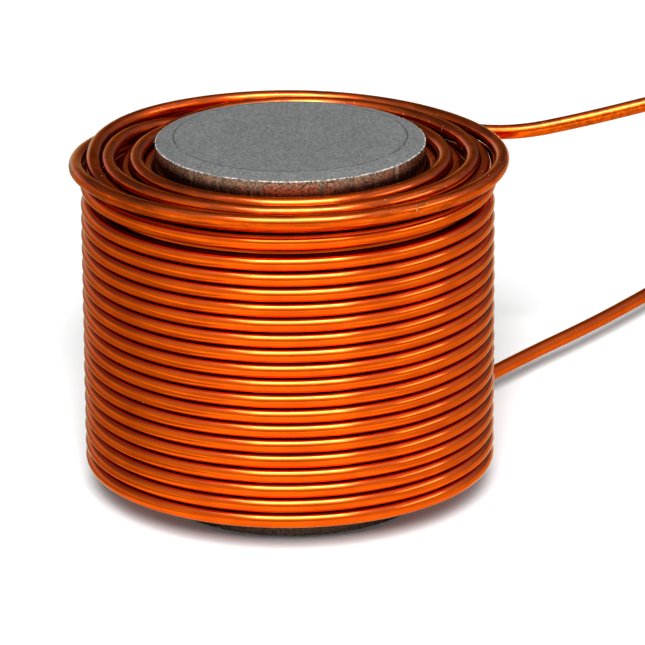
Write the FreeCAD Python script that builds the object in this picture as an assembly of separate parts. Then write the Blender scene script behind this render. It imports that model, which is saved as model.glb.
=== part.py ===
"""Rod-core choke: copper wire wound in layers on a pressed powder rod, with two free wire leads.

Millimetres, +Z up. The origin is the centre of the rod's foot. The photographed front faces -Y.
"""
import FreeCAD
import Part
import math
import os

V = FreeCAD.Vector
UP = V(0, 0, 1)

# Rod
core_diameter = 30.0
core_height = 42.15
core_chamfer_width = 2.1
core_chamfer_height = 0.55

# Wire
copper_diameter = 1.6
enamel_thickness = 0.035

# Winding
turn_spacing = 0.06
layer_nesting = 0.18
inner_layers = 4
core_clearance = 0.365
winding_offset = 0.33
foot_gap = 4.45
sleeve_clearance = 0.01
coil_tube_gap = 0.45

# Top of the winding: the odd layers end in a valley, the even ones start on a ridge beside it
valley_below_core_top = 3.325
ridge_rise = 0.95

# Finish turn: climbs from the valley at the left, stands out over the outer layer, falls behind
finish_ride = 0.2
finish_spring = 0.13
finish_in_left = 0.25
finish_out_back = 0.55
finish_ride_back = 0.1
finish_fall_left = 0.45
finish_fall_back = 1.85
finish_fall_exit = 2.45
finish_swell_back = 0.1
finish_exit_angle = 60.0

# Start of the winding: crosses under the layers, from the innermost one to its exit
crossing_clearance = 0.06
crossing_tail_angle = 22.0
crossing_corner_angle = 44.9
crossing_corner_out = 0.8
start_exit_angle = 47.9
start_exit_out = 0.5

# Free leads: a first run in line with the exit, then points that the route bends round, the last
# number of each being its height above the exit, and a straight tip towards a bearing and a slope
start_first_run = 10.9
start_lead_points = [(28.4, 36.1, 0.0), (35.6, 45.5, 0.0), (42.3, 55.35, 0.0)]
start_tip_bearing = 58.0
start_tip_slope = 0.0
finish_first_run = 6.4
finish_lead_points = [(24.9, 15.2, -0.12), (33.4, 15.3, 1.58), (44.3, 18.2, 3.45)]
finish_tip_bearing = 19.0
finish_tip_slope = 6.0
tip_length = 6.0
bend_share = 0.45

# Worked out
core_radius = core_diameter / 2
wire_diameter = copper_diameter + 2 * enamel_thickness
wire_radius = wire_diameter / 2
turn_pitch = wire_diameter + turn_spacing
layer_pitch = wire_diameter - layer_nesting
coil_tube = turn_pitch - coil_tube_gap
outer_layer = inner_layers + 1
first_layer_radius = core_radius + core_clearance + wire_radius
outer_layer_radius = first_layer_radius + inner_layers * layer_pitch
coil_radius = outer_layer_radius + (wire_diameter - coil_tube) / 2
first_turn_height = foot_gap + wire_radius
valley_height = core_height - valley_below_core_top
ridge_height = valley_height + ridge_rise
climbs = math.floor((valley_height - first_turn_height) / turn_pitch)
loose_gap = valley_height - first_turn_height - climbs * turn_pitch
start_height = foot_gap - crossing_clearance - wire_radius
winding_centre = V(-winding_offset, 0, 0)

BACK, RIGHT, FRONT, LEFT = 90.0, 0.0, -90.0, 180.0
POINTS_PER_ARC = 24
POINTS_PER_TURN = 8 * POINTS_PER_ARC


def ring_point(angle, radius, height):
    """Point at an angle from +X, in degrees, and a radius from the winding's own axis."""
    turn = math.radians(angle)
    return winding_centre + V(radius * math.cos(turn), radius * math.sin(turn), height)


def clockwise(angle):
    """Level direction in which the wire runs there, clockwise seen from above."""
    turn = math.radians(angle)
    return V(math.sin(turn), -math.cos(turn), 0)


def arc_edge(start, corner, end):
    """Arc that leaves start towards corner and arrives at end from corner, both equally far away."""
    middle = (start + end) * 0.5
    cosine = (middle - start).Length / (corner - start).Length
    crown = middle + (corner - middle) * (cosine / (1 + cosine))
    return Part.Arc(start, crown, end).toShape()


def biarc(start, leaving, end, arriving):
    """Two tangent arcs from one point and direction to another."""
    span = end - start
    along = span.dot(leaving + arriving)
    bend = 2 * (1 - leaving.dot(arriving))
    reach = (math.sqrt(along * along + bend * span.dot(span)) - along) / bend
    first = start + leaving * reach
    second = end - arriving * reach
    joint = (first + second) * 0.5
    return [arc_edge(start, first, joint), arc_edge(joint, second, end)]


def wound_edges(stations):
    """Quarter turns through level stations of angle, radius and height, with straight ends."""
    points = [ring_point(*station) for station in stations]
    directions = [clockwise(station[0]) for station in stations]
    first = points[0]
    last = points[-1]
    points[0] = first + directions[0] * coil_tube
    points[-1] = last - directions[-1] * coil_tube
    edges = [Part.LineSegment(first, points[0]).toShape()]
    for index in range(len(points) - 1):
        edges += biarc(points[index], directions[index], points[index + 1], directions[index + 1])
    edges.append(Part.LineSegment(points[-1], last).toShape())
    return edges


def tube(edges, diameter, direction):
    """One unbroken tube along joined edges, which start in the given direction."""
    path = Part.Wire(edges)
    start = edges[0].valueAt(edges[0].FirstParameter)
    section = Part.Wire([Part.makeCircle(diameter / 2, start, direction)])
    solid = path.makePipeShell([section], True, False)
    expected = math.pi * diameter * diameter / 4 * path.Length
    print("tube %.1f mm long, volume against section times length %.4f" % (path.Length, solid.Volume / expected))
    return solid


def least_gap(edges, diameter):
    """Least gap between each turn of wound tube and the next two, measured on points."""
    points = []
    for edge in edges:
        points += edge.discretize(Number=POINTS_PER_ARC + 1)[:-1]
    nearest = core_height
    for index, point in enumerate(points):
        for other in points[index + POINTS_PER_TURN // 2:index + 5 * POINTS_PER_TURN // 2]:
            nearest = min(nearest, point.distanceToPoint(other))
    return nearest - diameter


def wound(stations):
    """Wound tube through stations, thinner than the wire so that its turns stay apart."""
    edges = wound_edges(stations)
    print("least gap to itself %.2f mm" % least_gap(edges, coil_tube))
    return tube(edges, coil_tube, clockwise(stations[0][0]))


def route_edges(points):
    """Straight runs through points, joined by tangent arcs as large as the runs allow."""
    edges = []
    here = points[0]
    for before, corner, after in zip(points, points[1:], points[2:]):
        arriving = (corner - before).normalize()
        leaving = (after - corner).normalize()
        reach = bend_share * min((corner - before).Length, (after - corner).Length)
        print("bend radius %.1f mm" % (reach / math.tan(arriving.getAngle(leaving) / 2)))
        bend_start = corner - arriving * reach
        bend_end = corner + leaving * reach
        edges.append(Part.LineSegment(here, bend_start).toShape())
        edges.append(arc_edge(bend_start, corner, bend_end))
        here = bend_end
    edges.append(Part.LineSegment(here, points[-1]).toShape())
    return edges


def route_tube(points):
    """Wire along a whole route."""
    return tube(route_edges(points), wire_diameter, points[1] - points[0])


def free_lead(points):
    """Enamelled lead up to the end of its last bend."""
    return tube(route_edges(points)[:-1], wire_diameter, points[1] - points[0])


def tinned_tip(points):
    """Stripped and tinned end of a lead, which is straight."""
    direction = (points[-1] - points[-2]).normalize()
    start = points[-1] - direction * tip_length
    print("tip's middle %s, direction %s" % (tuple(start + direction * tip_length / 2), tuple(direction)))
    return Part.makeCylinder(copper_diameter / 2, tip_length, start, direction)


def powder_core():
    """Pressed rod with a shallow bevel round both faces."""
    face_radius = core_radius - core_chamfer_width
    outline = [
        V(0, 0, 0),
        V(face_radius, 0, 0),
        V(core_radius, 0, core_chamfer_height),
        V(core_radius, 0, core_height - core_chamfer_height),
        V(face_radius, 0, core_height),
        V(0, 0, core_height),
        V(0, 0, 0),
    ]
    return Part.Face(Part.makePolygon(outline)).revolve(V(0, 0, 0), UP, 360)


def layer_radius(layer):
    """Radius of a layer at the middle of its wire."""
    return first_layer_radius + (layer - 1) * layer_pitch


def layer_bottom(layer):
    """Underside of a layer: the even ones sit half a pitch higher, in the grooves of the odd ones."""
    return foot_gap + (turn_pitch / 2 if layer % 2 == 0 else 0)


def layer_top(layer):
    """Top of a layer: ridge on the even layers, valley on the odd ones."""
    return (ridge_height if layer % 2 == 0 else valley_height) + wire_radius


def core_adhesive():
    """Set adhesive in the uneven gap between the rod and the innermost layer, one turn short of its ends."""
    low = layer_bottom(1) + wire_diameter
    height = layer_top(1) - wire_diameter - low
    base = V(0, 0, low)
    radius = layer_radius(1) - layer_pitch / 2 - sleeve_clearance
    outer = Part.makeCylinder(radius, height, base + winding_centre, UP)
    return outer.cut(Part.makeCylinder(core_radius, height, base, UP)).Solids[0]


def inner_layer(layer):
    """One inner layer as a sleeve with rounded ends."""
    middle = layer_radius(layer)
    half = (layer_pitch - sleeve_clearance) / 2
    bottom = layer_bottom(layer)
    top = layer_top(layer)
    inner_low = V(middle - half, 0, bottom + half)
    outer_low = V(middle + half, 0, bottom + half)
    outer_high = V(middle + half, 0, top - half)
    inner_high = V(middle - half, 0, top - half)
    outline = Part.Wire([
        Part.Arc(inner_low, V(middle, 0, bottom), outer_low).toShape(),
        Part.LineSegment(outer_low, outer_high).toShape(),
        Part.Arc(outer_high, V(middle, 0, top), inner_high).toShape(),
        Part.LineSegment(inner_high, inner_low).toShape(),
    ])
    sleeve = Part.Face(outline).revolve(V(0, 0, 0), UP, 360)
    sleeve.translate(winding_centre)
    return sleeve


def outer_layer_stations():
    """Level turns from the foot up; each climbs to the next in its back left quarter.

    The last two lie close at the back and then rise by the slack, up to the right of the valley.
    """
    stations = []
    for turn in range(climbs + 1):
        close = first_turn_height + turn * turn_pitch
        level = close if turn < climbs - 1 else close + loose_gap
        stations += [(BACK, coil_radius, close)]
        stations += [(angle, coil_radius, level) for angle in (RIGHT, FRONT, LEFT)]
    return stations[:-2]


def finish_turn_stations():
    """Top turn, from the right of the valley round to where the lead leaves."""
    ridge = ridge_height + finish_ride
    outside = coil_radius + layer_pitch + finish_spring
    return [
        (RIGHT, coil_radius, valley_height),
        (FRONT, coil_radius, valley_height),
        (LEFT, coil_radius - finish_in_left, ridge),
        (BACK, coil_radius + finish_out_back, ridge + finish_ride_back),
        (RIGHT, outside, ridge),
        (FRONT, outside, ridge),
        (LEFT, outside, ridge - finish_fall_left),
        (BACK, outside + finish_swell_back, ridge - finish_fall_back),
        (finish_exit_angle, outside + finish_swell_back, ridge - finish_fall_exit),
    ]


def crossing_route():
    """Wire that comes off the innermost layer and runs out under the others."""
    return [
        ring_point(crossing_tail_angle, first_layer_radius, start_height),
        ring_point(crossing_corner_angle, first_layer_radius + crossing_corner_out, start_height),
        ring_point(start_exit_angle, outer_layer_radius + wire_radius + start_exit_out, start_height),
    ]


def free_route(leaving, first_run, points, tip_bearing, tip_slope):
    """Route of a free lead from where it leaves the winding to the end of its tip.

    The last bend takes its share of the last run, and the tip is the rest of it.
    """
    route = [leaving, leaving + first_run] + [V(x, y, leaving.z + rise) for x, y, rise in points]
    bearing = math.radians(tip_bearing)
    slope = math.radians(tip_slope)
    direction = V(math.cos(bearing) * math.cos(slope), math.sin(bearing) * math.cos(slope), math.sin(slope))
    return route + [route[-1] + direction * (tip_length / (1 - bend_share))]


def start_route():
    """Free lead at the foot."""
    before, leaving = crossing_route()[1:]
    first_run = (leaving - before).normalize() * start_first_run
    return free_route(leaving, first_run, start_lead_points, start_tip_bearing, start_tip_slope)


def finish_route():
    """Free lead at the top."""
    leaving = ring_point(*finish_turn_stations()[-1])
    first_run = clockwise(finish_exit_angle) * finish_first_run
    return free_route(leaving, first_run, finish_lead_points, finish_tip_bearing, finish_tip_slope)


print("%d climbs in the outer layer, loose gap %.2f mm" % (climbs, loose_gap))
nodes = {"winding_layer_%d" % layer: inner_layer(layer) for layer in range(1, outer_layer)}
nodes["winding_layer_%d" % outer_layer] = wound(outer_layer_stations())
nodes["powder_core"] = powder_core()
nodes["core_adhesive"] = core_adhesive()
nodes["finish_turn"] = wound(finish_turn_stations())
both = wound_edges(outer_layer_stations()) + wound_edges(finish_turn_stations())
print("least gap between any two of their turns %.2f mm" % least_gap(both, coil_tube))
nodes["start_crossing"] = route_tube(crossing_route())
nodes["start_lead"] = free_lead(start_route())
nodes["start_lead_tip"] = tinned_tip(start_route())
nodes["finish_lead"] = free_lead(finish_route())
nodes["finish_lead_tip"] = tinned_tip(finish_route())

os.makedirs("parts", exist_ok=True)
for name, shape in nodes.items():
    print(name, shape.ShapeType, shape.isValid(), "%.1f mm3" % shape.Volume)
    shape.exportStep("parts/%s.step" % name)
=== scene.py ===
"""Looks of a rod-core choke: enamelled copper wire wound in layers on a pressed powder rod.

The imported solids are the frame. Lengths are metres, and names that end in _mm are millimetres.
Progress is how far the wire has run round the rod, in degrees, clockwise from the back, seen from above.
"""
import logging
import math
import random
from dataclasses import dataclass, field
from enum import Enum
from typing import Callable, Iterable, Sequence

import bpy
from bpy.types import Collection, Material, Node, NodeSocket, NodeTree, Object
from mathutils import Matrix, Vector
from mathutils.kdtree import KDTree


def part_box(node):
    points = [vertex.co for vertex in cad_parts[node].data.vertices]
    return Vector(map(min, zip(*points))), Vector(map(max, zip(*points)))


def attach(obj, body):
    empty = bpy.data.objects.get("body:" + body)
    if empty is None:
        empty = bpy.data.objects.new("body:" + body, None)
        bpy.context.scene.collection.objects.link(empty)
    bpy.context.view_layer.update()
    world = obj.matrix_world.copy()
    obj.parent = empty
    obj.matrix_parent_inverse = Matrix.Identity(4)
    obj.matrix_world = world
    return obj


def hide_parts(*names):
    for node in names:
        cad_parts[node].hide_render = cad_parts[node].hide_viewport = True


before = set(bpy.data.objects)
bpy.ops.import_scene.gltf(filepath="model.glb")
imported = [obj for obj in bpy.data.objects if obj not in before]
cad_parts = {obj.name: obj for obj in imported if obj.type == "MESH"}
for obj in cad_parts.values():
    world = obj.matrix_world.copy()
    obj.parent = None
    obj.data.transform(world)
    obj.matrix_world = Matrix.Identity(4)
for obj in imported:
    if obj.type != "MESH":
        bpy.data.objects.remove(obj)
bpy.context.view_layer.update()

MM = 0.001
BODY = "root"
log = logging.getLogger("choke")

WIRE = 1.67 * MM                 # diameter of the wire over its enamel
MERGE = 1e-7                     # vertices nearer than this are one
LEVEL = 1e-6                     # heights nearer than this are the same
SHARP = math.radians(40)         # angle from which an edge stays sharp
Line = Sequence[Vector]
Colour = tuple[float, float, float, float]
WHITE: Colour = (1.0, 1.0, 1.0, 1.0)


class Slot(Enum):
    """Material slots of the pieces that are modelled here."""

    POWDER = "powder_core"
    ENAMEL = "enamelled_wire"
    TINNED = "tinned_copper"


class Lit(Enum):
    """What a lamp shines on, as the floor's link state in the lamp's receivers."""

    CHOKE = "EXCLUDE"
    FLOOR = "INCLUDE"


# Small tools for shapes


def point_at(progress: float, radius: float, height: float, shift: float = 0.0) -> Vector:
    """Point on a circle round the rod.

    Args:
        progress: degrees clockwise from the back.
        radius: of the circle.
        height: above the foot.
        shift: of the circle's centre along X.

    Returns:
        The point in the frame.
    """
    bearing = math.radians(90.0 - progress)
    return Vector((shift + radius * math.cos(bearing), radius * math.sin(bearing), height))


def deselect() -> None:
    """Leaves object mode with nothing selected."""
    if bpy.context.object is not None and bpy.context.object.mode != "OBJECT":
        bpy.ops.object.mode_set(mode="OBJECT")
    bpy.ops.object.select_all(action="DESELECT")


def only(piece: Object) -> None:
    """Selects one object and makes it active."""
    deselect()
    piece.select_set(True)
    bpy.context.view_layer.objects.active = piece


def pick(piece: Object, mode: str, test: Callable[[Vector], bool]) -> None:
    """Enters edit mode with the edges or faces selected whose middle passes a test.

    Args:
        piece: mesh object.
        mode: EDGE or FACE.
        test: says whether an element's middle is wanted.
    """
    only(piece)
    bpy.ops.object.mode_set(mode="EDIT")
    bpy.ops.mesh.select_mode(type=mode)
    bpy.ops.mesh.select_all(action="DESELECT")
    bpy.ops.object.mode_set(mode="OBJECT")
    mesh = piece.data
    if mode == "EDGE":
        places = [vertex.co for vertex in mesh.vertices]
        for edge in mesh.edges:
            edge.select = test((places[edge.vertices[0]] + places[edge.vertices[1]]) / 2)
    else:
        for face in mesh.polygons:
            face.select = test(face.center)
    bpy.ops.object.mode_set(mode="EDIT")


def close_mesh(piece: Object) -> None:
    """Merges doubles, turns faces outwards and shades smooth between sharp edges."""
    only(piece)
    bpy.ops.object.mode_set(mode="EDIT")
    bpy.ops.mesh.select_all(action="SELECT")
    bpy.ops.mesh.remove_doubles(threshold=MERGE)
    bpy.ops.mesh.normals_make_consistent(inside=False)
    bpy.ops.object.mode_set(mode="OBJECT")
    bpy.ops.object.shade_smooth_by_angle(angle=SHARP)


def settle(piece: Object, slot: Slot, finish: Material, *nodes: str) -> None:
    """Gives a piece its finish and its body, and hides the solids that it stands for.

    Args:
        piece: finished mesh at the origin.
        slot: not used.
        finish: material for all of it, unless it already has several.
        nodes: CAD nodes that it replaces.
    """
    if not piece.data.materials:
        piece.data.materials.append(finish)
    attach(piece, BODY)
    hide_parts(*nodes)
    log.info("%s: %d faces", piece.name, len(piece.data.polygons))


def curve_of(kind: str, points: Line, shares: Sequence[float] = ()) -> Object:
    """Makes an open curve.

    Args:
        kind: POLY for a line through the points, NURBS for a smooth one that they control.
        points: in order.
        shares: of its thickness that each point gets, if it isn't all of it everywhere.
    """
    deselect()
    bpy.ops.curve.primitive_nurbs_path_add()
    piece = bpy.context.object
    piece.data.splines.clear()
    spline = piece.data.splines.new(kind)
    spline.points.add(len(points) - 1)
    for place, point, share in zip(spline.points, points, shares or [1.0] * len(points)):
        place.co = (*point, 1.0)
        place.radius = share
    piece.data.dimensions = "3D"
    return piece


def wire_along(name: str, points: Line, diameter: float, sides: int, shares: Sequence[float] = ()) -> Object:
    """Sweeps round wire along points.

    Args:
        name: of the piece.
        points: middle line of the wire.
        diameter: of the wire.
        sides: of its section, an even number.
        shares: of the diameter that each point gets, if it isn't all of it everywhere.

    Returns:
        A closed mesh tube at the origin, whose UV map runs along and round the wire.
    """
    piece = curve_of("POLY", points, shares)
    piece.name = name
    piece.data.bevel_depth = diameter / 2
    piece.data.bevel_resolution = (sides - 4) // 2
    piece.data.use_fill_caps = True
    only(piece)
    bpy.ops.object.convert(target="MESH")
    piece = bpy.context.object
    piece.data.name = name
    map_along(piece, points, diameter)
    close_mesh(piece)
    return piece


def map_along(piece: Object, points: Line, diameter: float) -> None:
    """Lays a UV map on swept wire, with metres along it in U and metres round it in V.

    Args:
        piece: tube whose vertices follow one another ring by ring.
        points: middle line that it was swept along.
        diameter: of the wire.
    """
    mesh = piece.data
    ring_size = len(mesh.vertices) // len(points)
    reach = [0.0]
    for before, after in zip(points, points[1:]):
        reach.append(reach[-1] + (after - before).length)
    for layer in list(mesh.uv_layers):
        mesh.uv_layers.remove(layer)
    layer = mesh.uv_layers.new(name="along_wire")
    girth = math.pi * diameter
    for face in mesh.polygons:
        sides = [mesh.loops[loop].vertex_index % ring_size for loop in face.loop_indices]
        wraps = max(sides) - min(sides) > ring_size // 2
        for loop, side in zip(face.loop_indices, sides):
            ring = min(mesh.loops[loop].vertex_index // ring_size, len(reach) - 1)
            turn = side + ring_size if wraps and side < ring_size // 2 else side
            layer.data[loop].uv = (reach[ring], girth * turn / ring_size)


def heading(points: Line, index: int) -> Vector:
    """Direction of a line at one of its points."""
    return (points[min(index + 1, len(points) - 1)] - points[max(index - 1, 0)]).normalized()


class Neighbours:
    """Tells how far the other turns of the winding close in on a place on the wire.

    It probes in ways that turn by some degrees from straight outwards, each with its weight, and at reaches
    counted in wire diameters. Wire within own_turn of progress belongs to the same turn. A probe that is
    clear_from diameters from a turn's middle is free of it, and one that is nearer by fade lies within it.
    """

    ways = ((0.0, 1.0), (40.0, 0.8), (-40.0, 0.8), (75.0, 0.4), (-75.0, 0.4))
    reaches = (0.2, 0.55)
    own_turn = 40.0
    clear_from = 0.72
    fade = 0.25

    def __init__(self, line: Line, progress: Sequence[float]) -> None:
        """Sorts the middle line of the whole winding.

        Args:
            line: its points.
            progress: degrees wound at each point.
        """
        self.line, self.progress = line, progress
        self.tree = KDTree(len(line))
        for index, point in enumerate(line):
            self.tree.insert(point, index)
        self.tree.balance()

    def _covered(self, probe: Vector, own: float) -> float:
        """Share to which a probe lies within another turn."""
        for place, index, _ in self.tree.find_n(probe, 3):
            if abs(self.progress[index] - own) > self.own_turn:
                along = heading(self.line, index)
                off = probe - place
                across = (off - along * off.dot(along)).length / WIRE
                return min(1.0, max(0.0, (self.clear_from - across) / self.fade))
        return 0.0

    def closeness(self, place: Vector, centre: Vector, along: Vector, own: float) -> float:
        """Share of the directions out of a place that another turn closes off."""
        out = (place - centre).normalized()
        aside = along.cross(out)
        total = 0.0
        for angle, weight in self.ways:
            way = out * math.cos(math.radians(angle)) + aside * math.sin(math.radians(angle))
            within = (self._covered(place + way * reach * WIRE, own) for reach in self.reaches)
            total += weight * max(within)
        return total / sum(weight for _, weight in self.ways)

    def mark(self, piece: Object, points: Line, progress: Sequence[float],
             shown: Callable[[Vector], bool]) -> None:
        """Writes the closeness on a piece of swept wire as its attribute groove.

        Args:
            piece: the wire, whose vertices follow one another ring by ring.
            points: its middle line.
            progress: degrees wound at each point.
            shown: tells whether the wire at a point can be seen; elsewhere the attribute is 1.
        """
        vertices = piece.data.vertices
        ring_size = len(vertices) // len(points)
        # Painted shade: the wire's finish darkens the wire where this closeness is high, in the grooves
        # between turns.
        layer = piece.data.attributes.new("groove", "FLOAT", "POINT")
        for index, centre in enumerate(points):
            seen = shown(centre)
            along = heading(points, index)
            for vertex in range(index * ring_size, (index + 1) * ring_size):
                near = self.closeness(vertices[vertex].co, centre, along, progress[index]) if seen else 1.0
                layer.data[vertex].value = near


# Node trees


class Tree:
    """Adds nodes to a tree and links them by name."""

    def __init__(self, tree: NodeTree) -> None:
        """Starts from an empty tree."""
        self.tree = tree
        self.tree.nodes.clear()

    def add(self, kind: str, settings: dict | None = None, **inputs: object) -> Node:
        """Adds a node.

        Args:
            kind: node type's name, without a leading ShaderNode.
            settings: attributes of the node.
            inputs: values or sockets for its inputs, with _ for a space; in_0 is the first input.

        Returns:
            The node.
        """
        node = self.tree.nodes.new(kind if kind.startswith("Node") else "ShaderNode" + kind)
        for key, value in (settings or {}).items():
            setattr(node, key, value)
        for key, value in inputs.items():
            socket = node.inputs[int(key[3:]) if key.startswith("in_") else key.replace("_", " ")]
            if isinstance(value, NodeSocket):
                self.tree.links.new(value, socket)
            else:
                socket.default_value = value
        return node

    def maths(self, operation: str, first: object, second: object = 0.0, third: object = 0.0) -> NodeSocket:
        """Output of a Math node."""
        return self.add("Math", {"operation": operation}, in_0=first, in_1=second, in_2=third).outputs[0]

    def scaled(self, first: object, second: object, more: object = None) -> NodeSocket:
        """Product of two numbers, plus a third if there is one."""
        if more is None:
            return self.maths("MULTIPLY", first, second)
        return self.maths("MULTIPLY_ADD", first, second, more)

    def span(self, value: object, low: float, high: float, to_low: float = 0.0,
             to_high: float = 1.0) -> NodeSocket:
        """Output of a clamped, smooth Map Range node: to_low up to low, and to_high from high on."""
        node = self.add("MapRange", {"interpolation_type": "SMOOTHSTEP"}, Value=value, From_Min=low,
                        From_Max=high, To_Min=to_low, To_Max=to_high)
        return node.outputs["Result"]

    def between(self, share: object, first: object, second: object) -> NodeSocket:
        """Number at a share of the way from the first to the second."""
        return self.maths("ADD", first, self.scaled(share, self.maths("SUBTRACT", second, first)))

    def blend(self, share: object, first: object, second: object) -> NodeSocket:
        """Output of a colour Mix node."""
        return self.add("Mix", {"data_type": "RGBA"}, in_0=share, in_6=first, in_7=second).outputs[2]

    def noise(self, place: NodeSocket, scale: float, detail: float, roughness: float = 0.5) -> NodeSocket:
        """Output of a Noise Texture node."""
        node = self.add("TexNoise", Vector=place, Scale=scale, Detail=detail, Roughness=roughness)
        return node.outputs["Fac"]

    def axis(self, vector: NodeSocket, name: str) -> NodeSocket:
        """X, Y or Z of a vector."""
        return self.add("SeparateXYZ", Vector=vector).outputs[name]

    def reach(self, place: NodeSocket) -> NodeSocket:
        """Distance of a place from the rod's axis."""
        flat = self.add("CombineXYZ", X=self.axis(place, "X"), Y=self.axis(place, "Y"))
        return self.add("VectorMath", {"operation": "LENGTH"}, in_0=flat.outputs[0]).outputs["Value"]

    def shade(self, **inputs: object) -> None:
        """Adds a material's shader and its output."""
        self.add("OutputMaterial", Surface=self.add("BsdfPrincipled", **inputs).outputs[0])


def new_material(name: str) -> tuple[Material, Tree]:
    """Empty material, and its tree."""
    material = bpy.data.materials.new(name)
    material.use_nodes = True
    return material, Tree(material.node_tree)


class Effect:
    """Shader effect that several finishes share, as a node group with named sockets."""

    def __init__(self, name: str, inputs: dict[str, float | None], *outputs: str) -> None:
        """Makes the empty group.

        Args:
            name: of the group.
            inputs: socket names with a default number, or None for a vector.
            outputs: names of the numbers that it gives.
        """
        self.group = bpy.data.node_groups.new(name, "ShaderNodeTree")
        self.tree = Tree(self.group)
        for key, value in inputs.items():
            kind = "NodeSocketVector" if value is None else "NodeSocketFloat"
            socket = self.group.interface.new_socket(name=key, in_out="INPUT", socket_type=kind)
            if value is not None:
                socket.default_value = value
        for key in outputs:
            self.group.interface.new_socket(name=key, in_out="OUTPUT", socket_type="NodeSocketFloat")
        self.inputs = self.tree.add("NodeGroupInput").outputs
        self.outputs = self.tree.add("NodeGroupOutput").inputs

    def give(self, **sockets: NodeSocket) -> None:
        """Links sockets to the outputs of the group that have their names."""
        for name, socket in sockets.items():
            self.group.links.new(socket, self.outputs[name])

    def place(self, tree: Tree, **values: object) -> Node:
        """Places the group in a material with its own values."""
        return tree.add("Group", {"node_tree": self.group}, **values)


def dust_effect() -> Effect:
    """Specks of dust: a mask with few, small, uneven grains, thicker where patches gather."""
    effect = Effect("dust_specks", {"Place": None, "Amount": 0.5}, "Mask")
    tree, place = effect.tree, effect.inputs["Place"]
    rough = tree.add("TexNoise", Vector=place, Scale=6000.0, Detail=1.0)
    shaken = tree.add("VectorMath", {"operation": "MULTIPLY_ADD"}, in_0=rough.outputs["Color"],
                      in_1=(0.00007, 0.00007, 0.00007), in_2=place)
    cells = tree.add("TexVoronoi", {"feature": "F1"}, Vector=shaken.outputs[0], Scale=3600.0, Randomness=1.0)
    chosen = tree.add("SeparateColor", Color=cells.outputs["Color"])
    patches = tree.span(tree.noise(place, 160.0, 2.0), 0.4, 0.75)
    wanted = tree.scaled(patches, effect.inputs["Amount"])
    here = tree.maths("LESS_THAN", chosen.outputs["Red"], wanted)
    size = tree.scaled(tree.maths("POWER", chosen.outputs["Green"], 3.0), 0.22, 0.08)
    near = tree.span(tree.maths("SUBTRACT", cells.outputs["Distance"], size), -0.03, 0.05, 1.0, 0.0)
    effect.give(Mask=tree.scaled(here, near))
    return effect


def drawn_effect() -> Effect:
    """Marks of drawing and winding: fine lines along the wire, soft blotches, a mottle and shallow waves."""
    effect = Effect("drawn_wire", {"Along": None, "Place": None}, "Lines", "Blotches", "Mottle", "Waves")
    tree, place = effect.tree, effect.inputs["Place"]
    wound = tree.add("CombineXYZ", X=tree.axis(effect.inputs["Along"], "X"), Y=tree.reach(place),
                     Z=tree.axis(place, "Z"))

    def streaks(along: float, across: float, detail: float, roughness: float) -> NodeSocket:
        """Noise with one scale along the wire and another across it."""
        drawn = tree.add("Mapping", {"vector_type": "POINT"}, Vector=wound.outputs[0],
                         Scale=(along, across, across))
        return tree.noise(drawn.outputs[0], 1.0, detail, roughness)

    effect.give(Lines=tree.span(streaks(70.0, 3200.0, 3.0, 0.6), 0.3, 0.7),
                Blotches=tree.span(tree.noise(place, 240.0, 3.0, 0.55), 0.35, 0.68),
                Mottle=tree.span(streaks(260.0, 1500.0, 3.0, 0.6), 0.35, 0.68),
                Waves=streaks(230.0, 800.0, 2.0, 0.45))
    return effect


def grain_effect() -> Effect:
    """Grain of pressed powder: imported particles, a few of them bright."""
    effect = Effect("pressed_grain", {"Place": None, "Bright share": 0.02}, "Tone", "Bright", "Height")
    tree, place = effect.tree, effect.inputs["Place"]
    cells = tree.add("TexVoronoi", {"feature": "F1"}, Vector=place, Scale=9000.0)
    tint = tree.add("SeparateColor", Color=cells.outputs["Color"])
    fine, wide = tree.noise(place, 3400.0, 2.0, 0.65), tree.noise(place, 210.0, 2.0)
    mixed = tree.scaled(fine, 0.9, tree.scaled(wide, 0.1))
    effect.give(Tone=tree.span(mixed, 0.36, 0.64),
                Bright=tree.maths("LESS_THAN", tint.outputs["Blue"], effect.inputs["Bright share"]),
                Height=tree.scaled(cells.outputs["Distance"], 0.6, fine))
    return effect


def edge_effect(radius: float, width: float) -> Effect:
    """Ring on a flat face, broken where its edge has crumbled.

    Args:
        radius: of the ring.
        width: of the ring.
    """
    effect = Effect("crumbled_ring", {"Place": None}, "Mask")
    tree, place = effect.tree, effect.inputs["Place"]
    wander = tree.scaled(tree.noise(place, 900.0, 3.0), 1.6 * width, -0.8 * width)
    off = tree.maths("SUBTRACT", tree.maths("ADD", tree.reach(place), wander), radius)
    line = tree.span(tree.maths("ABSOLUTE", off), 0.3 * width, width, 1.0, 0.0)
    effect.give(Mask=tree.scaled(line, tree.span(tree.noise(place, 420.0, 2.0), 0.36, 0.5)))
    return effect


# Finishes


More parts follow.
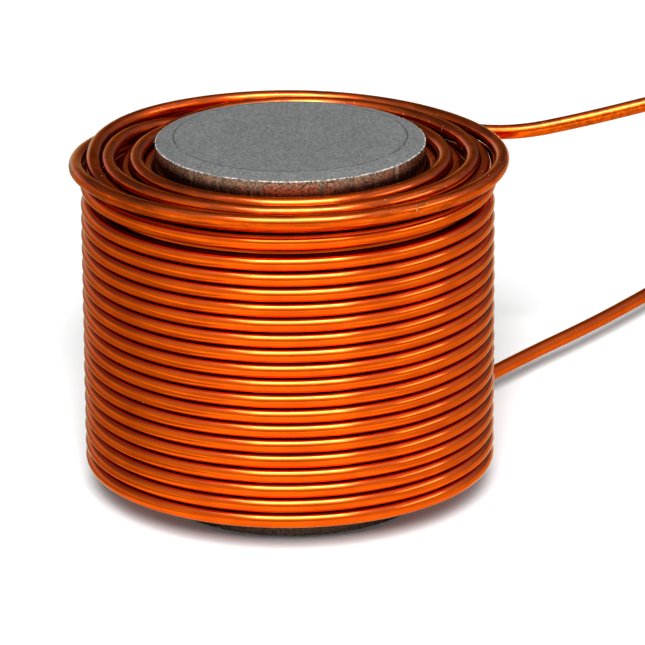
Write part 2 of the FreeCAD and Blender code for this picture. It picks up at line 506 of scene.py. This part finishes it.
@dataclass(frozen=True)
class EnamelledCopper:
    """Copper seen through clear orange-brown enamel, dustier where the last turns lie.

    After the colours come the shares of wear, grime and painted shade in the grooves in the colour, then the
    amounts of specks, roughnesses, weights of the clear coat, the larger of them a painted highlight, and
    strengths and depths of the marks.
    """

    copper: Colour = (0.87, 0.117, 0.0008, 1.0)
    worn: Colour = (0.60, 0.060, 0.0005, 1.0)
    dull: Colour = (0.22, 0.030, 0.0008, 1.0)
    # Colour of the painted shade in the grooves between turns.
    painted_groove_shade: Colour = (0.095, 0.0055, 0.0005, 1.0)
    dust: Colour = (0.38, 0.28, 0.20, 1.0)
    edge: Colour = (0.70, 0.50, 0.06, 1.0)
    blotch_wear: float = 0.4
    line_wear: float = 0.35
    upper_grime: float = 0.5
    # Share of the painted groove shade in the colour.
    groove_shade_share: float = 0.85
    specks: float = 0.004
    upper_specks: float = 0.12
    smooth: float = 0.10
    rough: float = 0.17
    upper_rough: float = 0.03
    speck_rough: float = 0.9
    enamel: float = 0.04
    # Coat weight of the painted highlight band, where the key light's highlight falls.
    highlight_coat: float = 0.42
    slant: float = 0.55
    slant_power: float = 7.0
    line_strength: float = 0.35
    line_depth: float = 0.000004
    wave_strength: float = 0.3
    upper_waves: float = 0.65
    wave_depth: float = 0.000034
    dust_edge: float = 1.0 * MM

    def make(self, drawn: Effect, dust: Effect, dust_level: float) -> Material:
        """Makes the material.

        Args:
            drawn: marks along the wire.
            dust: specks.
            dust_level: height from which dust lies.
        """
        material, tree = new_material("enamelled_copper")
        at = tree.add("TexCoord").outputs
        marks = drawn.place(tree, Along=at["UV"], Place=at["Object"]).outputs
        height, edge = tree.axis(at["Object"], "Z"), self.dust_edge
        upper = tree.span(height, dust_level - edge, dust_level + edge)
        amount = tree.scaled(upper, self.upper_specks, self.specks)
        specks = dust.place(tree, Place=at["Object"], Amount=amount).outputs["Mask"]
        wear = tree.scaled(marks["Lines"], self.line_wear)
        wear = tree.scaled(marks["Blotches"], self.blotch_wear, wear)
        colour = tree.blend(wear, self.copper, self.worn)
        grime = tree.scaled(upper, tree.span(marks["Mottle"], 0.2, 0.8, 0.0, self.upper_grime))
        colour = tree.blend(grime, colour, self.dull)
        # Painted shade: the colour darkens to a dark red-black where other turns close in round the wire, and
        # where it is hidden.
        groove = tree.add("Attribute", {"attribute_name": "groove"}).outputs["Fac"]
        colour = tree.blend(tree.span(groove, 0.45, 1.0, 0.0, self.groove_shade_share), colour, self.painted_groove_shade)
        colour = tree.blend(specks, colour, self.dust)
        rough = tree.scaled(marks["Blotches"], self.rough - self.smooth, self.smooth)
        rough = tree.scaled(upper, self.upper_rough, rough)
        rough = tree.maths("MAXIMUM", rough, tree.scaled(specks, self.speck_rough))
        strength = tree.scaled(upper, self.upper_waves, self.wave_strength)
        waves = tree.add("Bump", Strength=strength, Distance=self.wave_depth, Height=marks["Waves"])
        bump = tree.add("Bump", Strength=self.line_strength, Distance=self.line_depth, Height=marks["Lines"],
                        Normal=waves.outputs[0])
        # Painted highlight: the clear coat is much stronger on the band of tilt where the key light's
        # highlight falls.
        tilt = tree.axis(at["Normal"], "Z")
        highlight_band = tree.scaled(tree.span(tilt, 0.42, 0.6), tree.span(tilt, 0.78, 0.92, 1.0, 0.0))
        coat = tree.scaled(highlight_band, self.highlight_coat - self.enamel, self.enamel)
        facing = tree.add("LayerWeight", Blend=0.5).outputs["Facing"]
        coat = tree.scaled(tree.maths("POWER", facing, self.slant_power), self.slant, coat)
        tree.shade(Base_Color=colour, Metallic=tree.maths("SUBTRACT", 1.0, specks), Roughness=rough,
                   Specular_Tint=self.edge, Coat_Weight=coat, Coat_Roughness=0.04, Coat_IOR=1.6,
                   Normal=bump.outputs[0])
        return material


@dataclass(frozen=True)
class TinnedCopper:
    """Dipped tin over bare copper wire."""

    tin: Colour = (0.66, 0.65, 0.62, 1.0)
    dull: Colour = (0.44, 0.43, 0.41, 1.0)
    smooth: float = 0.22
    uneven: float = 0.2
    bump: float = 0.4
    depth: float = 0.00002

    def make(self, drawn: Effect) -> Material:
        """Makes the material.

        Args:
            drawn: marks along the wire.
        """
        material, tree = new_material("tinned_copper")
        at = tree.add("TexCoord").outputs
        marks = drawn.place(tree, Along=at["UV"], Place=at["Object"]).outputs
        bump = tree.add("Bump", Strength=self.bump, Distance=self.depth, Height=marks["Mottle"])
        tree.shade(Base_Color=tree.blend(marks["Blotches"], self.tin, self.dull), Metallic=1.0,
                   Roughness=tree.scaled(marks["Mottle"], self.uneven, self.smooth),
                   Normal=bump.outputs[0])
        return material


@dataclass(frozen=True)
class PressedPowder:
    """Pressed iron powder: a matt face, or the burnished side that slid along the die.

    Sparks, rim wear and the painted low shade are shares. The painted shade darkens the side up to the first
    height, below the winding's top and down to the foot, and fades out by the second.
    """

    name: str
    dark: Colour
    light: Colour
    spark: Colour
    roughness: float
    bump: float
    metallic: float = 0.0
    sparks: float = 0.0
    rim_wear: float = 0.0
    low_shade: float = 0.0
    low_shade_heights: tuple[float, float] = (0.0402, 0.0411)
    low_shade_colour: Colour = (0.022, 0.016, 0.013, 1.0)
    ring_colour: Colour = (0.02, 0.02, 0.022, 1.0)
    ring_share: float = 0.8
    rim_edge: float = 0.00015
    uneven: float = 0.16
    depth: float = 0.00004

    def make(self, grain: Effect, ring: Effect | None, rim: float) -> Material:
        """Makes the material.

        Args:
            grain: of the powder.
            ring: dark broken ring, if the face has one.
            rim: radius at which the rim starts, which is worn brighter.
        """
        material, tree = new_material(self.name)
        place = tree.add("TexCoord").outputs["Object"]
        powder = grain.place(tree, Place=place, Bright_share=self.sparks).outputs
        colour = tree.blend(powder["Tone"], self.dark, self.light)
        colour = tree.blend(powder["Bright"], colour, self.spark)
        worn = tree.scaled(tree.span(tree.reach(place), rim, rim + self.rim_edge), self.rim_wear)
        colour = tree.blend(tree.scaled(worn, powder["Tone"]), colour, self.spark)
        if ring is not None:
            line = ring.place(tree, Place=place).outputs["Mask"]
            colour = tree.blend(tree.scaled(line, self.ring_share), colour, self.ring_colour)
        # Painted shade: the side darkens below the top of the winding, where the winding shades it, down to
        # the foot.
        shaded_low = tree.span(tree.axis(place, "Z"), *self.low_shade_heights, self.low_shade, 0.0)
        colour = tree.blend(shaded_low, colour, self.low_shade_colour)
        rough = tree.scaled(powder["Tone"], self.uneven, self.roughness - self.uneven / 2)
        bump = tree.add("Bump", Strength=self.bump, Distance=self.depth, Height=powder["Height"])
        tree.shade(Base_Color=colour, Metallic=self.metallic, Roughness=rough, Normal=bump.outputs[0])
        return material


@dataclass(frozen=True)
class SetAdhesive:
    """Amber casting adhesive."""

    amber: Colour = (0.42, 0.26, 0.09, 1.0)
    dark: Colour = (0.22, 0.11, 0.03, 1.0)
    roughness: float = 0.3
    bump: float = 0.3
    depth: float = 0.00005

    def make(self, grain: Effect) -> Material:
        """Makes the material.

        Args:
            grain: fine unevenness.
        """
        material, tree = new_material("set_adhesive")
        cast = grain.place(tree, Place=tree.add("TexCoord").outputs["Object"], Bright_share=0.0).outputs
        bump = tree.add("Bump", Strength=self.bump, Distance=self.depth, Height=cast["Height"])
        tree.shade(Base_Color=tree.blend(cast["Tone"], self.amber, self.dark), Roughness=self.roughness,
                   Normal=bump.outputs[0])
        return material


class Finishes:
    """Every finish of the choke, made once."""

    ring_width = 0.14 * MM

    def __init__(self, ring_radius: float, rim_radius: float, dust_level: float) -> None:
        """Makes the effects and the materials.

        Args:
            ring_radius: of the broken line on the rod's faces.
            rim_radius: beyond which the rod's rim has worn.
            dust_level: height from which dust lies on the wire.
        """
        drawn, grain = drawn_effect(), grain_effect()
        ring = edge_effect(ring_radius, self.ring_width)
        self.wire = EnamelledCopper().make(drawn, dust_effect(), dust_level)
        self.tin = TinnedCopper().make(drawn)
        face = PressedPowder("pressed_face", dark=(0.054, 0.056, 0.0548, 1.0),
                             light=(0.115, 0.119, 0.1168, 1.0), spark=(0.50, 0.51, 0.50, 1.0),
                             roughness=0.75, bump=0.3, rim_wear=1.0)
        # The burnished side gets painted shade low down, below the winding's top.
        side = PressedPowder("burnished_side", dark=(0.13, 0.085, 0.056, 1.0), light=(0.40, 0.26, 0.17, 1.0),
                             spark=(0.60, 0.50, 0.40, 1.0), roughness=0.26, bump=0.02, metallic=1.0,
                             sparks=0.012, low_shade=0.82)
        self.face = face.make(grain, ring, rim_radius)
        self.side = side.make(grain, None, rim_radius)
        self.adhesive = SetAdhesive().make(grain)


# The winding


@dataclass(frozen=True)
class Station:
    """Place that the wire passes."""

    progress: float
    radius: float
    height: float
    shift: float


class Course:
    """Smooth line of the wire through its stations, without overshoot between them."""

    def __init__(self, stations: Sequence[Station]) -> None:
        """Works out the slopes of radius, height and shift at each station.

        Args:
            stations: in order of progress.
        """
        self.stations = list(stations)
        rows = [(s.radius, s.height, s.shift) for s in self.stations]
        steps = [b.progress - a.progress for a, b in zip(self.stations, self.stations[1:])]
        self.slopes = [self._slopes(steps, [row[axis] for row in rows]) for axis in range(3)]
        self.rows = rows
        self._last = 0

    @staticmethod
    def _slopes(steps: Sequence[float], values: Sequence[float]) -> list[float]:
        """Slope at each station: none at a level or a turning point, else the harmonic mean of both sides."""
        rates = [(b - a) / step for a, b, step in zip(values, values[1:], steps)]
        slopes = [rates[0]]
        for before, after in zip(rates, rates[1:]):
            slopes.append(0.0 if before * after <= 0 else 2 * before * after / (before + after))
        return slopes + [rates[-1]]

    def at(self, progress: float) -> Vector:
        """Point of the line at a progress."""
        while self._last < len(self.stations) - 2 and progress > self.stations[self._last + 1].progress:
            self._last += 1
        while self._last > 0 and progress < self.stations[self._last].progress:
            self._last -= 1
        here, there = self.stations[self._last], self.stations[self._last + 1]
        step = there.progress - here.progress
        t = (progress - here.progress) / step
        values = []
        for axis in range(3):
            a, b = self.rows[self._last][axis], self.rows[self._last + 1][axis]
            m, n = self.slopes[axis][self._last] * step, self.slopes[axis][self._last + 1] * step
            values.append(a + t * (m + t * (3 * (b - a) - 2 * m - n + t * (2 * (a - b) + m + n))))
        return point_at(progress, *values)

    def points(self, start: float, end: float, step: float) -> tuple[list[Vector], list[float]]:
        """Evenly spaced points of the line from one progress to another, and their progress."""
        count = max(2, round((end - start) / step))
        progress = [start + (end - start) * i / count for i in range(count + 1)]
        return [self.at(place) for place in progress], progress


@dataclass
class Winding:
    """Five layers and the finish turn, wound from one wire."""

    pitch: float = 1.73 * MM
    first_radius: float = 15.87 * MM
    layer_step: float = 1.5725 * MM
    layer_shift: float = -0.0825 * MM
    outer_shift_mm: float = -0.33
    turns: int = 18
    lowest: float = 5.285 * MM
    level_turn: float = 34.695 * MM
    level_at: tuple[float, float] = (60.0, 180.0)
    climb_start: float = 285.0
    climb_end: float = 350.0
    start_progress: float = 68.0
    start_height: float = 3.555 * MM
    start_run: float = 25.0
    start_rise: float = 0.1 * MM
    finish_start: float = 90.0
    exit_progress: float = 30.0
    wander: float = 0.018 * MM
    step: float = 3.0
    sides: int = 16
    seed: int = 7
    stations: list[Station] = field(default_factory=list)
    turn: int = 0

    def _add(self, progress: float, radius: float, height: float, shift: float = 0.0) -> None:
        """Adds a station in the turn that is being wound."""
        self.stations.append(Station(360.0 * self.turn + progress, radius, height, shift))

    def _special(self, places: Iterable[tuple[float, ...]], shift: float = 0.0) -> None:
        """Winds a turn through chosen places.

        Args:
            places: progress, and millimetres of radius, height over the level turn and, for some, shift.
            shift: millimetres for the other places.
        """
        for progress, radius, rise, *own in places:
            self._add(progress, radius * MM, self.level_turn + rise * MM, (own or [shift])[0] * MM)
        self.turn += 1

    def _regular(self, layer: int, heights: Iterable[float], noise: random.Random) -> None:
        """Winds level turns of a layer, each with its climb or fall to the next in the back left quarter."""
        radius = self.first_radius + (layer - 1) * self.layer_step
        shift = (layer - 1) * self.layer_shift
        for height in heights:
            for progress in (self.climb_end - 360.0, *self.level_at, self.climb_start):
                self._add(progress, radius + noise.uniform(-1, 1) * self.wander,
                          height + noise.uniform(-1, 1) * self.wander, shift)
            self.turn += 1

    def course(self) -> tuple[Course, list[float]]:
        """Winds the whole wire.

        Returns:
            Its line, and the progress at which each layer and the finish turn start, and the end.
        """
        noise = random.Random(self.seed)
        climbing = [self.lowest + i * self.pitch for i in range(self.turns)]
        second = climbing + [self.lowest + self.turns * self.pitch]
        falling = [self.level_turn + (0.5 - i) * self.pitch for i in range(self.turns)]
        cuts = [self.start_progress]
        outer = self.outer_shift_mm
        for progress, height in ((self.start_progress, self.start_height),
                                 (self.start_progress + self.start_run, self.start_height + self.start_rise),
                                 (self.level_at[1], self.lowest), (self.climb_start, self.lowest)):
            self._add(progress, self.first_radius, height)
        self.turn += 1
        self._regular(1, second[1:], noise)
        self._special([(0, 15.87, 3.6), (60, 15.87, 3.75), (285, 15.87, 3.75), (305, 15.9, 3.9),
                       (330, 16.3, 4.6), (350, 16.8, 4.95)])
        cuts.append(360.0 * self.turn)
        self._special([(15, 17.09, 5.0), (270, 17.09, 5.0), (300, 17.25, 4.85), (325, 17.55, 3.6),
                       (345, 17.5, 1.8)])
        self._regular(2, falling, noise)
        cuts.append(360.0 * self.turn)
        self._regular(3, second, noise)
        self._special([(0, 18.6, 3.3, -0.1), (90, 18.4, 3.85, -0.15), (180, 18.2, 3.75, -0.1),
                       (270, 18.2, 3.75), (300, 18.5, 3.95), (320, 19.0, 4.5), (345, 19.7, 5.0)])
        cuts.append(360.0 * self.turn)
        self._special([(15, 20.17, 5.05), (285, 20.17, 5.05), (305, 20.5, 4.6), (325, 20.8, 3.7),
                       (345, 20.7, 2.75, -0.1)])
        self._special([(0, 20.6, 2.57, -0.25), (285, 20.6, 2.57, -0.25)])
        self._regular(4, falling, noise)
        cuts.append(360.0 * self.turn)
        self._regular(5, climbing, noise)
        self._special([(-10, 22.16, 1.73), (25, 22.2, 2.1), (45, 22.45, 2.6), (62, 22.85, 3.1),
                       (75, 22.95, 3.25), (86, 22.6, 2.9), (106, 22.2, 2.4), (264, 22.16, 2.4),
                       (276, 22.45, 2.5), (286, 22.7, 2.6), (298, 22.5, 2.65), (320, 22.2, 2.85)], outer)
        cuts.append(360.0 * self.turn + self.finish_start)
        self._special([(-10, 22.05, 3.45), (30, 22.0, 3.5), (45, 22.0, 3.6), (58, 21.75, 3.95),
                       (72, 21.6, 4.3), (90, 21.72, 4.1), (115, 21.4, 3.95, -0.25),
                       (180, 21.4, 3.95, -0.2), (235, 21.45, 4.0, -0.3), (255, 21.45, 4.6),
                       (272, 21.5, 5.05), (290, 21.95, 5.15), (305, 22.35, 5.15), (330, 22.7, 5.05)], outer)
        self._special([(0, 22.9, 4.95), (45, 23.1, 4.8), (90, 23.72, 4.95), (180, 23.6, 5.1),
                       (240, 23.45, 5.02), (270, 23.4, 4.4), (295, 23.62, 3.75), (320, 23.8, 3.35)], outer)
        self._special([(0, 24.0, 3.1), (self.exit_progress, 24.075, 2.83)], outer)
        cuts.append(360.0 * (self.turn - 1) + self.exit_progress)
        return Course(self.stations), cuts

    def build(self, finishes: Finishes) -> None:
        """Makes a mesh for each layer and for the finish turn."""
        course, cuts = self.course()
        names = [f"winding_layer_{layer}" for layer in range(1, 6)] + ["finish_turn"]
        neighbours = Neighbours(*course.points(cuts[0], cuts[-1], self.step))
        outside = self.first_radius + 3.5 * self.layer_step      # between layers 4 and 5
        for name, start, end in zip(names, cuts, cuts[1:]):
            points, progress = course.points(start, end, self.step)
            piece = wire_along(name + "_wire", points, WIRE, self.sides)
            neighbours.mark(piece, points, progress, lambda place: place.xy.length > outside
                            or not self.lowest + self.pitch < place.z < self.level_turn - self.pitch)
            settle(piece, Slot.ENAMEL, finishes.wire, name)


# The leads


@dataclass
class FreeLead:
    """Free end of the wire, with a tinned tip."""

    name: str
    route_mm: Sequence[tuple[float, float, float]]
    wire: float = WIRE
    copper: float = 1.6 * MM
    tip: float = 6.0 * MM
    fillet: float = 0.18 * MM
    fillet_rings: int = 5
    sides: int = 20

    def _line(self) -> list[Vector]:
        """Points along the smooth line that the route's points control."""
        guide = curve_of("NURBS", [Vector(point) * MM for point in self.route_mm])
        spline = guide.data.splines[0]
        spline.order_u = 3
        spline.use_endpoint_u = True
        guide.data.resolution_u = 24
        bpy.context.view_layer.update()
        read = bpy.data.meshes.new_from_object(guide)
        points = [vertex.co.copy() for vertex in read.vertices]
        bpy.data.meshes.remove(read)
        bpy.data.objects.remove(guide)
        return points

    def build(self, finishes: Finishes) -> None:
        points = self._line()
        steps = [(b - a).length for a, b in zip(points, points[1:])]
        enamelled = sum(steps) - self.tip
        done, index = 0.0, 0
        while done + steps[index] < enamelled:
            done += steps[index]
            index += 1
        cut = points[index].lerp(points[index + 1], (enamelled - done) / steps[index])
        path = points[: index + 1] + [cut]
        wire = wire_along(self.name + "_wire", path, self.wire, self.sides)
        settle(wire, Slot.ENAMEL, finishes.wire, self.name)
        line, shares = self._rounded([cut] + points[index + 1:])
        tip = wire_along(self.name + "_tip_wire", line, self.copper, self.sides, shares)
        settle(tip, Slot.TINNED, finishes.tin, self.name + "_tip")

    def _rounded(self, points: Line) -> tuple[list[Vector], list[float]]:
        """Ends a line with ever thinner places, so that the cut edge of the wire is round.

        Args:
            points: middle line of the tip.

        Returns:
            The new line, and the share of the diameter at each of its points.
        """
        end = points[-1]
        back = (points[-2] - end).normalized()
        line = [point for point in points[:-1] if (point - end).length > 2 * self.fillet]
        shares = [1.0] * len(line)
        for step in range(self.fillet_rings):
            turn = math.pi / 2 / (self.fillet_rings - 1) * step
            line.append(end + back * self.fillet * (1 - math.sin(turn)))
            shares.append(1 - 2 * self.fillet * (1 - math.cos(turn)) / self.copper)
        return line, shares


@dataclass
class StartCrossing:
    """Stretch between the start lead and the innermost layer, which bends round the rod's foot."""

    start: Vector
    corner_mm: tuple[float, float, float] = (12.08, 12.54, 3.555)
    exit_mm: tuple[float, float, float] = (15.4217, 17.4327, 3.555)
    sides: int = 16
    parts: int = 24

    def build(self, finishes: Finishes) -> None:
        """Makes the bend, level with the lead and in line with the winding."""
        corner, leaving = Vector(self.corner_mm) * MM, Vector(self.exit_mm) * MM
        points = []
        for i in range(self.parts + 1):
            t = i / self.parts
            points.append(self.start * (1 - t) ** 2 + corner * 2 * t * (1 - t) + leaving * t ** 2)
        piece = wire_along("start_crossing_wire", points, WIRE, self.sides)
        settle(piece, Slot.ENAMEL, finishes.wire, "start_crossing")


# The rod


@dataclass
class PowderRod:
    """Pressed rod, with a shallow bevel round each face and a rim that has crumbled a little."""

    bevel_width: float = 2.1 * MM
    bevel_height: float = 0.55 * MM
    rim_radius: float = 0.09 * MM
    groove_width: float = 0.1 * MM
    groove_depth: float = 0.05 * MM
    chips: int = 26
    chip_size: float = 0.5 * MM
    chip_depth: float = 0.16 * MM
    chip_slope: float = 0.6
    smallest_chip: float = 0.4
    rim_wear: float = 0.2 * MM
    face_rings: int = 4
    around: int = 360
    seed: int = 3

    def __post_init__(self) -> None:
        """Takes the rod's size from its solid."""
        low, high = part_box("powder_core")
        self.radius = (high.x - low.x) / 2
        self.height = high.z - low.z

    @property
    def face_radius(self) -> float:
        """Radius of the flat inside the bevel."""
        return self.radius - self.bevel_width

    def _shape_face(self, rod: Object, level: float, outwards: float) -> None:
        """Insets an end face, pushes its middle out as the bevel, and sinks a fine groove at its edge."""
        pick(rod, "FACE", lambda middle: abs(middle.z - level) < LEVEL)
        for width, push in ((self.bevel_width - self.groove_width, self.bevel_height),
                            (self.groove_width / 2, -self.groove_depth),
                            (self.groove_width / 2, self.groove_depth)):
            bpy.ops.mesh.inset(thickness=width)
            bpy.ops.transform.translate(value=(0, 0, outwards * push))
        for _ in range(self.face_rings):
            bpy.ops.mesh.inset(thickness=self.face_radius / (self.face_rings + 1))
        bpy.ops.object.mode_set(mode="OBJECT")

    def _round_rims(self, rod: Object) -> None:
        """Rounds the rod's two outer edges."""
        for level in (self.bevel_height, self.height - self.bevel_height):
            pick(rod, "EDGE", lambda middle: abs(middle.z - level) < LEVEL
                 and middle.xy.length > 0.999 * self.radius)
            bpy.ops.mesh.bevel(offset=self.rim_radius, segments=2, affect="EDGES")
            bpy.ops.object.mode_set(mode="OBJECT")

    def _crumble(self, rod: Object) -> None:
        """Pushes small hollows into the rims, where grains have broken out."""
        noise = random.Random(self.seed)
        hollows = []
        for _ in range(self.chips):
            level = noise.choice((self.bevel_height, self.height - self.bevel_height))
            place = point_at(noise.uniform(0, 360), self.radius, level)
            size = self.chip_size * noise.uniform(self.smallest_chip, 1.0)
            depth = self.chip_depth * noise.uniform(self.smallest_chip, 1.0)
            hollows.append((place, size, depth))
        for vertex in rod.data.vertices:
            if vertex.co.xy.length < self.face_radius + 0.5 * self.bevel_width:
                continue
            for place, size, depth in hollows:
                off = (vertex.co - place).length / size
                if off < 1:
                    inwards = Vector((-vertex.co.x, -vertex.co.y, 0)).normalized()
                    inwards.z = -self.chip_slope if place.z > self.height / 2 else self.chip_slope
                    vertex.co += inwards * depth * (1 - off * off)

    def build(self, finishes: Finishes) -> None:
        """Models the rod from a cylinder."""
        deselect()
        bpy.ops.mesh.primitive_cylinder_add(vertices=self.around, radius=self.radius,
                                            depth=self.height - 2 * self.bevel_height,
                                            location=(0, 0, self.height / 2))
        rod = bpy.context.object
        rod.name = "powder_core_rod"
        bpy.ops.object.transform_apply(location=True, rotation=False, scale=False)
        self._shape_face(rod, self.height - self.bevel_height, 1.0)
        self._shape_face(rod, self.bevel_height, -1.0)
        self._round_rims(rod)
        self._crumble(rod)
        close_mesh(rod)
        rod.data.materials.append(finishes.side)
        rod.data.materials.append(finishes.face)
        for face in rod.data.polygons:
            face.material_index = 1 if abs(face.normal.z) > 0.5 else 0
        settle(rod, Slot.POWDER, finishes.side, "powder_core")


def dress_adhesive(finishes: Finishes) -> None:
    """Gives the set adhesive between the rod and the innermost layer its finish. It keeps its solid."""
    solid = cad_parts["core_adhesive"]
    solid.data.materials.clear()
    solid.data.materials.append(finishes.adhesive)


# The studio


@dataclass(frozen=True)
class Lamp:
    """Soft lamp that faces the choke.

    Its bearing is in degrees from the front, positive to the right, its rise in degrees above the horizon,
    and its size is width and height. Its radiance is the brightness of its face, where 1 is white.
    """

    name: str
    bearing: float
    rise: float
    distance: float
    size: tuple[float, float]
    radiance: float
    lit: Lit = Lit.CHOKE

    def hang(self, middle: Vector, receivers: Collection) -> None:
        """Hangs the lamp.

        Args:
            middle: of the choke, which the distance is counted from.
            receivers: collection that says whether it shines on the floor.
        """
        across, up = math.radians(self.bearing), math.radians(self.rise)
        away = Vector((math.sin(across) * math.cos(up), -math.cos(across) * math.cos(up), math.sin(up)))
        bpy.ops.object.light_add(type="AREA", location=middle + away * self.distance)
        lamp = bpy.context.object
        lamp.name = self.name
        lamp.rotation_euler = away.to_track_quat("Z", "Y").to_euler()
        lamp.data.shape = "RECTANGLE"
        lamp.data.size, lamp.data.size_y = self.size
        lamp.data.energy = self.radiance * math.pi * self.size[0] * self.size[1]
        lamp.light_linking.receiver_collection = receivers


LAMPS = (Lamp("key", 8.0, 62.0, 2.5, (1.6, 0.54), 14.0),
         Lamp("key_glow", 6.0, 58.0, 2.55, (2.3, 2.1), 4.2),
         Lamp("key_spread", 4.0, 60.0, 2.6, (3.2, 3.0), 0.2),
         Lamp("right_strip", 84.0, 30.0, 2.5, (1.34, 0.35), 5.0),
         Lamp("floor_light", 0.0, 34.0, 2.5, (0.65, 0.65), 156.0, Lit.FLOOR))


@dataclass
class Studio:
    """White floor, soft lamps and the photograph's camera."""

    camera_place: Vector = Vector((0.00343, -0.54892, 0.21318))
    camera_right: Vector = Vector((0.99998, -0.0021, -0.00597))
    camera_up: Vector = Vector((0.00633, 0.33156, 0.94341))
    focal_mm: float = 290.33
    sensor_mm: float = 36.0
    clip: tuple[float, float] = (0.01, 50.0)
    middle: Vector = Vector((0.0, 0.0, 0.02))
    floor_size: float = 14.0
    floor_tone: float = 0.5
    floor_glow: float = 0.03
    left_card: float = 0.56
    right_card: float = 0.88
    card_size: float = 0.8
    card_gap: float = 0.027
    card_front: float = 0.05
    card_height: float = 0.0005
    wall: float = 0.8
    far_wall: float = 0.17
    ceiling: float = 0.85
    far_ceiling: float = 0.09
    opening_share: float = 0.75
    groups: dict[Lit, Collection] = field(default_factory=dict)

    def camera(self) -> None:
        """Places the camera."""
        bpy.ops.object.camera_add(location=self.camera_place)
        camera = bpy.context.object
        right = self.camera_right.normalized()
        back = right.cross(self.camera_up).normalized()
        turned = Matrix((right, back.cross(right), back)).transposed().to_4x4()
        camera.matrix_world = Matrix.Translation(self.camera_place) @ turned
        camera.data.lens = self.focal_mm
        camera.data.sensor_width = self.sensor_mm
        camera.data.clip_start, camera.data.clip_end = self.clip
        bpy.context.scene.camera = camera

    def floor(self) -> None:
        """Lays the white floor, with the choke's shadow on it."""
        deselect()
        bpy.ops.mesh.primitive_plane_add(size=self.floor_size, location=(0, 0, 0))
        floor = bpy.context.object
        floor.name = "floor"
        material, tree = new_material("white_floor")
        paper = tree.add("BsdfDiffuse", Color=(self.floor_tone, self.floor_tone, self.floor_tone, 1.0))
        glow = tree.add("Emission", Color=WHITE, Strength=self.floor_glow)
        mixed = tree.add("AddShader", in_0=paper.outputs[0], in_1=glow.outputs[0])
        tree.add("OutputMaterial", Surface=mixed.outputs[0])
        floor.data.materials.append(material)
        for lit in Lit:
            group = bpy.data.collections.new("floor_" + lit.name.lower())
            group.objects.link(floor)
            group.collection_objects[0].light_linking.link_state = lit.value
            self.groups[lit] = group

    def card(self, side: float, strength: float) -> None:
        """Lays a grey card beside the choke that shows in the choke's reflections only.

        Args:
            side: -1 for the left, 1 for the right.
            strength: brightness, where 1 is white.
        """
        deselect()
        beside, behind = self.card_gap + self.card_size / 2, self.card_size / 2 - self.card_front
        place = (side * beside, behind, self.card_height)
        bpy.ops.mesh.primitive_plane_add(size=self.card_size, location=place)
        card = bpy.context.object
        card.name = "grey_card"
        material, tree = new_material("grey_card")
        glow = tree.add("Emission", Color=WHITE, Strength=strength)
        tree.add("OutputMaterial", Surface=glow.outputs[0])
        card.data.materials.append(material)
        card.visible_camera = card.visible_diffuse = card.visible_shadow = False

    def world(self) -> None:
        """Surrounds the choke with the studio: bright in front and above, dimmer at the back and the left."""
        world = bpy.data.worlds.new("studio")
        bpy.context.scene.world = world
        world.use_nodes = True
        tree = Tree(world.node_tree)
        way = tree.add("SeparateXYZ", Vector=tree.add("TexCoord").outputs["Generated"])
        across, forward, rise = (way.outputs[axis] for axis in "XYZ")
        front = tree.scaled(forward, -1.0)
        left = tree.span(front, -0.6, 0.6, self.far_wall, self.wall)
        left = tree.between(tree.span(rise, 0.06, 0.38, 1.0, 0.0), left, self.wall)
        right = tree.span(front, -1.0, 0.1, self.far_wall, self.wall)
        walls = tree.between(tree.span(across, -0.25, 0.25), left, right)
        above = tree.scaled(across, 0.6, front)
        above = tree.span(above, -0.95, 0.15, self.far_ceiling, self.ceiling)
        level = tree.between(tree.span(rise, 0.4, 0.9), walls, above)
        wide = tree.span(tree.maths("ABSOLUTE", across), 0.3, 0.45, 1.0, 0.0)
        high = tree.maths("ABSOLUTE", tree.maths("SUBTRACT", rise, 0.05))
        opening = tree.scaled(wide, tree.span(high, 0.05, 0.1, 1.0, 0.0))
        opening = tree.scaled(opening, tree.span(front, 0.7, 0.85))
        dimmed = tree.scaled(opening, -self.opening_share, 1.0)
        soft = tree.add("Background", Color=WHITE, Strength=tree.scaled(level, dimmed))
        tree.add("OutputWorld", Surface=soft.outputs[0])

    def build(self) -> None:
        """Builds the whole studio but the camera."""
        self.floor()
        self.card(-1.0, self.left_card)
        self.card(1.0, self.right_card)
        for lamp in LAMPS:
            lamp.hang(self.middle, self.groups[lamp.lit])
        self.world()
        bpy.context.scene.view_settings.view_transform = "Standard"


START_ROUTE_MM = [(15.4217, 17.4327, 3.555), (21.5684, 26.4342, 3.555), (28.4, 36.1, 3.555),
                  (35.6, 45.5, 3.555), (42.3, 55.35, 3.555), (48.0809, 64.6014, 3.555)]
FINISH_ROUTE_MM = [(11.7075, 20.8496, 37.525), (17.2501, 17.6496, 37.525), (24.9, 15.2, 37.405),
                   (33.4, 15.3, 39.105), (44.3, 18.2, 40.975), (54.5582, 21.7322, 42.1153)]


def main() -> None:
    """Builds the choke and its studio in order."""
    logging.basicConfig(level=logging.INFO, format="%(name)s %(message)s")
    studio = Studio()
    studio.camera()
    rod = PowderRod()
    winding = Winding()
    dust_level = winding.level_turn + 2 * WIRE
    finishes = Finishes(rod.face_radius + rod.groove_width / 2, rod.radius - rod.rim_wear, dust_level)
    FreeLead("start_lead", START_ROUTE_MM).build(finishes)
    FreeLead("finish_lead", FINISH_ROUTE_MM).build(finishes)
    winding.build(finishes)
    start = point_at(winding.start_progress, winding.first_radius, winding.start_height)
    StartCrossing(start).build(finishes)
    rod.build(finishes)
    dress_adhesive(finishes)
    studio.build()


if __name__ == "__main__":
    main()
